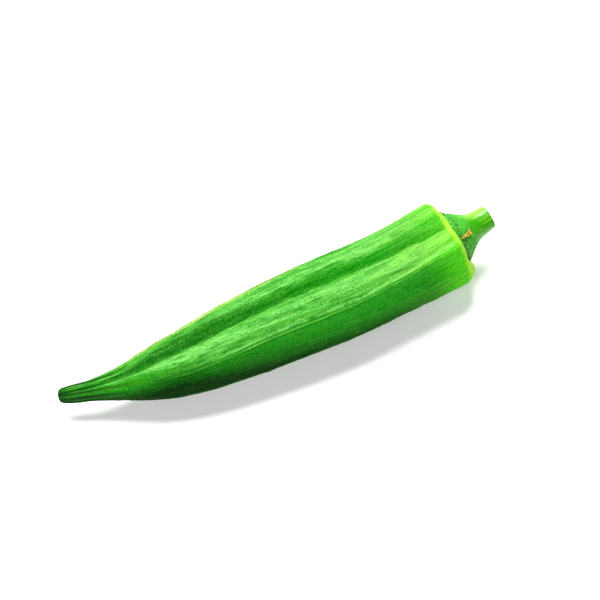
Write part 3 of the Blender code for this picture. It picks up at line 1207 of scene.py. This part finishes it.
@dataclass
class Stem:
    """The cut stem on its flared foot, with faint ribs and a pale, slightly sunken pith.

    Rib height, unevenness and the cut's roughness are in millimetres.
    """

    pod: Pod
    length: float = 9.6 * MM
    radius: float = 2.9 * MM
    gap: float = 0.3 * MM
    outline: Outline = (
        (0.02, 0.985),
        (0.09, 0.87),
        (0.22, 0.755),
        (0.37, 0.61),
        (0.52, 0.5),
        (0.75, 0.43),
        (1.0, 0.4),
    )
    rows: int = 96
    columns: int = 128
    cut_rows: int = 14
    bevel: float = 0.16 * MM
    bevel_rows: int = 4
    bevel_edge: float = 0.2
    pith_depth: float = 0.3 * MM
    ribs: int = 5
    rib_height: float = 0.04
    wander: float = 1.6
    wandering: Grain = Grain(0.2, 0.3)
    unevenness: float = 0.3
    unevening: Grain = Grain(0.22, 0.5, 3.0)
    cut_roughness: float = 0.3
    roughening: Grain = Grain(0.0, 1.4, 3.0)

    def _reach(self, share: float) -> float:
        """Radius at this share of the stem's length above the rim."""
        return max(self.radius, curve(self.outline, share) * self.pod.seat_reach)

    def _stations(self) -> list[Station]:
        """Lays out the stem's rings.

        Returns:
            Stations from under the foot, up the stem, and over the cut to its middle, where the edge is 1.
        """
        foot = self.pod.seat_reach - self.gap
        bottom = self.pod.length - self.pod.seat_depth + self.gap
        rings = [Station(bottom, foot * share, 0.0, 0.0) for share in (0.0, 0.5, 0.9, 0.98)]
        rings.append(Station(bottom + 0.1 * MM, foot, 0.0, 0.0))
        for i in range(self.rows + 1):
            share = i / self.rows
            place = self.pod.length + (self.length - self.bevel + self.gap) * share - self.gap
            above = max(self.outline[0][0], (place - self.pod.length) / self.length)
            rings.append(Station(place, min(foot, self._reach(above)), 0.0, min(1.0, 0.15 + share * 2.0)))
        cut = self.pod.length + self.length
        for i, (cos, sin) in enumerate(quarter(self.bevel_rows, self.bevel_rows + 1)[1:], start=1):
            reach = self.radius - self.bevel * (1.0 - cos)
            edge = self.bevel_edge * i / self.bevel_rows
            rings.append(Station(cut - self.bevel * (1.0 - sin), reach, edge, 1.0))
        for i in range(1, self.cut_rows + 1):
            share = i / self.cut_rows
            sunk = self.pith_depth * (1.0 - (1.0 - min(1.0, share * 1.7)) ** 2)
            edge = self.bevel_edge + (1.0 - self.bevel_edge) * share
            rings.append(Station(cut - sunk, (self.radius - self.bevel) * (1.0 - share), edge, 0.4))
        return rings

    def build(self, finish: Material) -> Object:
        """Grows the stem.

        Args:
            finish: Its material.

        Returns:
            The stem, with the pod's tip at the origin.
        """
        inputs = {
            "Columns": self.columns,
            "Start": self.pod.length,
            "Length": self.length,
            "Ribs": self.ribs,
            "Rib Height": self.rib_height,
            "Unevenness": self.unevenness,
            "Seam": SEAM,
            "Finish": finish,
        }
        grower = Grower("grow stem", inputs)
        sheet = Sheet(grower)
        cut = sheet.edge
        sheet.store({Mark.ALONG: (sheet.place - grower["Start"]) / grower["Length"], Mark.CUT: cut})
        wander = (grower.noise(sheet.flow, self.wandering) - 0.5) * self.wander
        ribs = (sheet.turn * RADIAN * grower["Ribs"] + wander).cos() * grower["Rib Height"]
        uneven = (grower.noise(sheet.flow, self.unevening) - 0.5) * grower["Unevenness"]
        reach = sheet.reach + (ribs + uneven) * sheet.relief * MM * cut.rise(1.0, 0.3)
        rough = (grower.noise(sheet.flow, self.roughening) - 0.5) * cut.rise(0.15, 0.4)
        body = sheet.wrapped(self.pod.line, sheet.place + rough * self.cut_roughness * MM, reach)
        return grower.grow(outlined("okra_stem", self._stations()), body)


@dataclass
class Fuzz:
    """Short hairs scattered over a piece's skin, leaning to the tip or, with a lean below 0, to the stem."""

    name: str
    per_square_mm: float
    length: float
    width: float
    lean: float
    seed: int
    start: float
    end: float
    keep_off: float = 0.8 * MM
    tousle: float = 0.45
    shortest: float = 0.45
    longest: float = 1.25

    def build(self, skin: Object, finish: Material) -> Object:
        """Grows the hairs.

        Args:
            skin: The piece that carries them, whose marks say how far along it each point is.
            finish: Their material.

        Returns:
            The hairs, as one mesh in the same place as the piece.
        """
        inputs = {
            "Density": self.per_square_mm / MM**2,
            "Hair Length": self.length,
            "Hair Width": self.width,
            "Lean": self.lean,
            "Start": self.start,
            "End": self.end,
            "Keep Off Surface": self.keep_off,
            "Seed": self.seed,
            "Finish": finish,
        }
        grower = Grower("grow " + self.name, inputs)
        seed, width = grower["Seed"], grower["Hair Width"]
        along = grower.named(Mark.ALONG)
        _, _, height = grower.parts(grower.position())
        kept = grower.compare(along, "GREATER_THAN", grower["Start"])
        kept = kept * grower.compare(along, "LESS_THAN", grower["End"])
        kept = kept * grower.compare(height, "GREATER_THAN", grower["Keep Off Surface"])
        spread = {"Mesh": grower["Geometry"], "Selection": kept, "Density": grower["Density"], "Seed": seed}
        scattering = {"distribute_method": "RANDOM"}
        scatter = grower.node("GeometryNodeDistributePointsOnFaces", scattering, spread)
        points, normal = (Signal(grower, scatter.outputs[name]) for name in ("Points", "Normal"))
        points = grower.store(points, Mark.SHADE, grower.random(0.0, 1.0, seed + 1.0))
        aim = grower.vector("ADD", normal, grower.join(-grower["Lean"], 0.0, 0.0))
        aim = grower.vector("ADD", aim, grower.random_vector(self.tousle, 3))
        turn = grower.value("FunctionNodeAlignRotationToVector", {"axis": "Z"}, {"Vector": aim})
        tall = grower["Hair Length"] * grower.random(self.shortest, self.longest, seed + 2.0)
        spike = {"Vertices": 3, "Side Segments": 1, "Radius Top": 0.0, "Radius Bottom": 0.5, "Depth": 1.0}
        hair = grower.value("GeometryNodeMeshCone", {"fill_type": "NGON"}, spike, "Mesh")
        hairs = grower.copies(points, hair, turn, grower.join(width, width, tall))
        return grower.grow(put(self.name, skin.data.copy()), hairs)


@dataclass
class SeamScraps:
    """Brown, papery scraps left in the seam between the rim and the stem's foot."""

    pod: Pod
    count: int = 46
    size: float = 0.34 * MM
    seed: int = 11
    inset: float = 0.12 * MM
    rise: float = 0.1 * MM
    stray: float = 0.14 * MM
    smallest: float = 0.35
    largest: float = 1.1
    breadth: float = 0.55
    thickness: float = 0.3
    dents: Grain = Grain(1.4, 1.4)

    def build(self, finish: Material) -> Object:
        """Grows the scraps.

        Args:
            finish: Their material.

        Returns:
            The scraps, as one mesh with the pod's tip at the origin.
        """
        place, reach = self.pod.length + self.rise, self.pod.seat_reach - self.inset
        ring = [self.pod.line.around(place, 360.0 * k / self.count, reach) for k in range(self.count)]
        grower = Grower("grow scraps", {"Size": self.size, "Seed": self.seed, "Finish": finish})
        seed = grower["Seed"]
        ball = {"Radius": 1.0, "Subdivisions": 2}
        crumb = grower.value("GeometryNodeMeshIcoSphere", None, ball, "Mesh")
        at = grower.position()
        dented = grower.scaled(at, grower.noise(at, self.dents) * 1.5 - 0.35)
        crumb = grower.moved(crumb, "Position", dented)
        host = {"Mesh": grower["Geometry"], "Radius": 0.1 * MM}
        points = grower.value("GeometryNodeMeshToPoints", {"mode": "VERTICES"}, host)
        points = grower.moved(points, "Offset", grower.random_vector(self.stray, seed))
        turned = {0: grower.random_vector(math.pi, seed + 5.0)}
        turn = grower.value("FunctionNodeEulerToRotation", None, turned)
        size = grower["Size"] * grower.random(self.smallest, self.largest, seed + 9.0)
        scale = grower.join(size, size * self.breadth, size * self.thickness)
        return grower.grow(point_object("seam_scraps", ring), grower.copies(points, crumb, turn, scale))


@dataclass
class DriedBract:
    """A withered scrap of a bract: a crumpled strip from the seam that frays into curling fingers.

    The strip runs through points, each with its rise over the rim, its reach from the line, and the strip's
    half width there.
    """

    pod: Pod
    angle: float = -36.0
    run: tuple[tuple[float, float, float], ...] = (
        (0.3 * MM, 7.15 * MM, 0.32 * MM),
        (1.1 * MM, 6.55 * MM, 0.42 * MM),
        (1.8 * MM, 6.0 * MM, 0.5 * MM),
        (2.5 * MM, 5.65 * MM, 0.6 * MM),
        (3.0 * MM, 5.5 * MM, 0.78 * MM),
    )
    strands: int = 5
    strand_steps: int = 24
    strand_flatness: float = 0.4
    crumple: float = 0.09 * MM
    ripple: float = 0.05 * MM
    fingers: int = 17
    finger_steps: int = 10
    finger_length: float = 0.55 * MM
    finger_flatness: float = 0.55
    finger_root: float = 0.25 * MM
    finger_width: float = 0.13 * MM
    finger_end: float = 0.02 * MM
    sides: int = 8
    middle: list[Vector] = field(init=False)
    ahead: Vector = field(init=False)
    across: Vector = field(init=False)
    out: Vector = field(init=False)

    def __post_init__(self) -> None:
        """Works out the strip's middle line, and the directions along, across and out from the stem."""
        line, rim = self.pod.line, self.pod.length
        centre = line.around(rim, 0.0, 0.0)
        self.middle = [line.around(rim + rise, self.angle, reach) for rise, reach, _ in self.run]
        self.ahead = (self.middle[-1] - self.middle[-2]).normalized()
        self.across = (line.around(rim, self.angle + 90.0, 1.0) - centre).normalized()
        self.out = (line.around(rim, self.angle, 1.0) - centre).normalized()

    def _tube(
        self, shape: bmesh.types.BMesh, path: Sequence[Vector], widths: Sequence[float], flatness: float
    ) -> None:
        """Adds a closed tube along a path.

        Args:
            shape: The mesh to add to.
            path: The tube's middle line.
            widths: Its half width at each point.
            flatness: Its thickness as a share of its width.
        """
        corners = [(math.cos(t), math.sin(t)) for t in (math.tau * k / self.sides for k in range(self.sides))]
        rings = []
        for i, (point, width) in enumerate(zip(path, widths)):
            ahead = (path[min(i + 1, len(path) - 1)] - path[max(i - 1, 0)]).normalized()
            broad = ahead.cross(self.out).normalized()
            thick = broad.cross(ahead).normalized() * flatness
            ring = (point + broad * (width * cos) + thick * (width * sin) for cos, sin in corners)
            rings.append([shape.verts.new(corner) for corner in ring])
        for low, high in zip(rings, rings[1:]):
            for k in range(self.sides):
                after = (k + 1) % self.sides
                shape.faces.new((low[k], low[after], high[after], high[k]))
        shape.faces.new(list(reversed(rings[0])))
        shape.faces.new(rings[-1])

    def _strand(self, strand: int) -> tuple[list[Vector], list[float]]:
        """Lays one crumpled strand of the strip.

        Args:
            strand: Its number, counted across the strip.

        Returns:
            Its path and its half widths.
        """
        path, widths = [], []
        offset = (strand - (self.strands - 1) / 2) / 2.0
        for i in range(self.strand_steps + 1):
            share = i / self.strand_steps * (len(self.run) - 1)
            k = min(int(share), len(self.run) - 2)
            width = self.run[k][2] + (self.run[k + 1][2] - self.run[k][2]) * (share - k)
            lift = self.crumple * math.sin(7.0 * i / self.strand_steps * math.pi + strand * 2.1)
            lift += self.ripple * math.cos(strand * 3.0 + i * 0.9)
            middle = self.middle[k].lerp(self.middle[k + 1], share - k)
            path.append(middle + self.across * (offset * width * 0.55) + self.out * lift)
            widths.append(width * (0.28 + 0.07 * math.sin(i * 1.7 + strand)))
        return path, widths

    def _finger(self, finger: int) -> tuple[list[Vector], list[float]]:
        """Lays one curling finger at the strip's frayed end.

        Args:
            finger: Its number, counted across the strip.

        Returns:
            Its path and its half widths.
        """
        half = (self.fingers - 1) / 2
        spread = (finger - half) / half
        across, out = self.across, self.out
        start = self.middle[-1] - self.ahead * self.finger_root + across * (spread * self.run[-1][2] * 0.8)
        length = self.finger_length * (1.1 - 0.5 * abs(spread) + 0.35 * math.sin(finger * 2.3 + 1.0))
        aim = self.ahead + across * (spread * 0.5 + 0.6 * math.sin(finger * 4.1))
        aim = (aim + out * (0.45 * math.cos(finger * 1.9))).normalized()
        curl = across * (0.5 * math.sin(finger * 3.3)) + out * (0.55 * math.cos(finger * 2.6))
        shares = [i / self.finger_steps for i in range(self.finger_steps + 1)]
        path = [start + aim * (length * t) + curl * (length * 0.45 * t**2) for t in shares]
        return path, [self.finger_width * (1.0 - t) ** 0.6 + self.finger_end for t in shares]

    def build(self, finish: Material) -> Object:
        """Models the bract.

        Args:
            finish: Its material.

        Returns:
            The bract, with the pod's tip at the origin.
        """
        shape = bmesh.new()
        for strand in range(self.strands):
            self._tube(shape, *self._strand(strand), self.strand_flatness)
        for finger in range(self.fingers):
            self._tube(shape, *self._finger(finger), self.finger_flatness)
        bmesh.ops.recalc_face_normals(shape, faces=shape.faces)
        made = point_object("withered_bract", [])
        shape.to_mesh(made.data)
        shape.free()
        made.data.shade_smooth()
        made.data.materials.append(finish)
        return made


@dataclass(frozen=True)
class Lamp:
    """A square soft light that faces the pod: its direction as for the camera, distance, size and watts."""

    name: str
    azimuth: float
    elevation: float
    distance: float
    size: float
    watts: float


@dataclass
class Studio:
    """Pale floor, soft lights, and the camera that looks down on the pod."""

    floor_colour: Colour = (0.8, 0.8, 0.795)
    floor_size: float = 6.0
    lamps: tuple[Lamp, ...] = (
        Lamp("key", 168.0, 58.0, 0.9, 0.6, 18.0),
        Lamp("fill", -15.0, 42.0, 1.0, 0.8, 9.0),
    )
    sky: float = 0.06
    azimuth: float = -10.0
    elevation: float = 60.0
    roll: float = 13.68
    lens: float = 200.0
    film: float = 36.0
    distance: float = 0.776
    aim: tuple[float, float, float] = (0.0067, 0.0078, 0.0)

    @staticmethod
    def _back(azimuth: float, elevation: float) -> Vector:
        """Direction from the pod to something at this azimuth and elevation."""
        a, e = math.radians(azimuth), math.radians(elevation)
        return Vector((math.sin(a) * math.cos(e), -math.cos(a) * math.cos(e), math.sin(e)))

    def _floor(self) -> None:
        """Lays the floor."""
        bpy.ops.mesh.primitive_plane_add(size=self.floor_size)
        floor = bpy.context.object
        floor.name = "floor"
        floor.data.materials.append(Painter("pale floor", 0.3, self.floor_colour).finish(0.55))

    def _light(self, lamp: Lamp) -> None:
        """Hangs a light.

        Args:
            lamp: What is known about it.
        """
        data = bpy.data.lights.new(lamp.name, "AREA")
        data.size = lamp.size
        data.energy = lamp.watts
        back = self._back(lamp.azimuth, lamp.elevation)
        made = put(lamp.name, data)
        made.location = back * lamp.distance
        made.rotation_euler = back.to_track_quat("Z", "Y").to_euler()

    def _sky(self) -> None:
        """Sets the faint white light from all round, and how the render shows light."""
        scene = bpy.context.scene
        scene.world = bpy.data.worlds.new("studio")
        scene.world.use_nodes = True
        background = scene.world.node_tree.nodes["Background"]
        background.inputs["Color"].default_value = (1.0, 1.0, 1.0, 1.0)
        background.inputs["Strength"].default_value = self.sky
        scene.view_settings.view_transform = "Standard"
        scene.view_settings.look = "High Contrast"

    def _camera(self) -> None:
        """Sets up the camera, turned about its line of sight by the roll."""
        data = bpy.data.cameras.new("camera")
        data.lens = self.lens
        data.sensor_width = self.film
        data.clip_start = 0.01
        camera = put("camera", data)
        back = self._back(self.azimuth, self.elevation)
        camera.location = Vector(self.aim) + back * self.distance
        facing = back.to_track_quat("Z", "Y").to_matrix()
        roll = math.radians(self.roll)
        right = facing.col[0] * math.cos(roll) - facing.col[1] * math.sin(roll)
        up = facing.col[0] * math.sin(roll) + facing.col[1] * math.cos(roll)
        facing.col[0], facing.col[1] = right, up
        camera.rotation_euler = facing.to_euler()
        bpy.context.scene.camera = camera

    def build(self) -> None:
        """Sets up floor, lights, sky and camera."""
        self._floor()
        for lamp in self.lamps:
            self._light(lamp)
        self._sky()
        self._camera()


def placement(pod: Object) -> Vector:
    """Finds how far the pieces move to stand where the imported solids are.

    Args:
        pod: The pod, built with its tip at the origin.

    Returns:
        The move, which is level.
    """
    low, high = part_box(Solid.POD.value)
    middle = (low + high) / 2
    places = [vertex.co for vertex in pod.data.vertices]
    built = [(min(p[k] for p in places) + max(p[k] for p in places)) / 2 for k in range(2)]
    return Vector((middle.x - built[0], middle.y - built[1], 0.0))


def main() -> None:
    """Builds every piece in order, then the studio, and notes the sizes."""
    logging.basicConfig(level=logging.INFO, format="%(name)s: %(message)s")
    for old in list(bpy.data.objects):
        bpy.data.objects.remove(old)
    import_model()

    pod = Pod()
    dry = DrySkin("withered bract", (0.11, 0.06, 0.008), (0.33, 0.24, 0.03), (0.56, 0.5, 0.13))
    papery = DrySkin("seam scraps", (0.06, 0.04, 0.01), (0.3, 0.14, 0.03), (0.5, 0.4, 0.12))
    soft = HairSkin("pod fuzz", (0.03, 0.3, 0.01), (0.3, 0.6, 0.16))
    stiff = HairSkin("foot fuzz", (0.003, 0.03, 0.003), (0.36, 0.6, 0.16))
    down = Fuzz("pod_fuzz", 2.6, 0.22 * MM, 0.028 * MM, 0.9, seed=5, start=0.02, end=0.985)
    stubble = Fuzz("foot_fuzz", 16.0, 0.65 * MM, 0.1 * MM, -0.9, seed=21, start=-0.05, end=0.28)

    skin = pod.build(PodSkin().make())
    stalk = Stem(pod).build(StemSkin().make())
    pieces = (
        (skin, Slot.POD, Solid.POD),
        (stalk, Slot.STEM, Solid.STEM),
        (DriedBract(pod).build(dry.make()), Slot.BRACT, Solid.BRACT),
        (SeamScraps(pod).build(papery.make()), Slot.BRACT, None),
        (down.build(skin, soft.make()), Slot.POD, None),
        (stubble.build(stalk, stiff.make()), Slot.STEM, None),
    )
    shift = placement(skin)
    for piece, slot, solid in pieces:
        attach(piece, shift, solid)

    Studio().build()


if __name__ == "__main__":
    main()
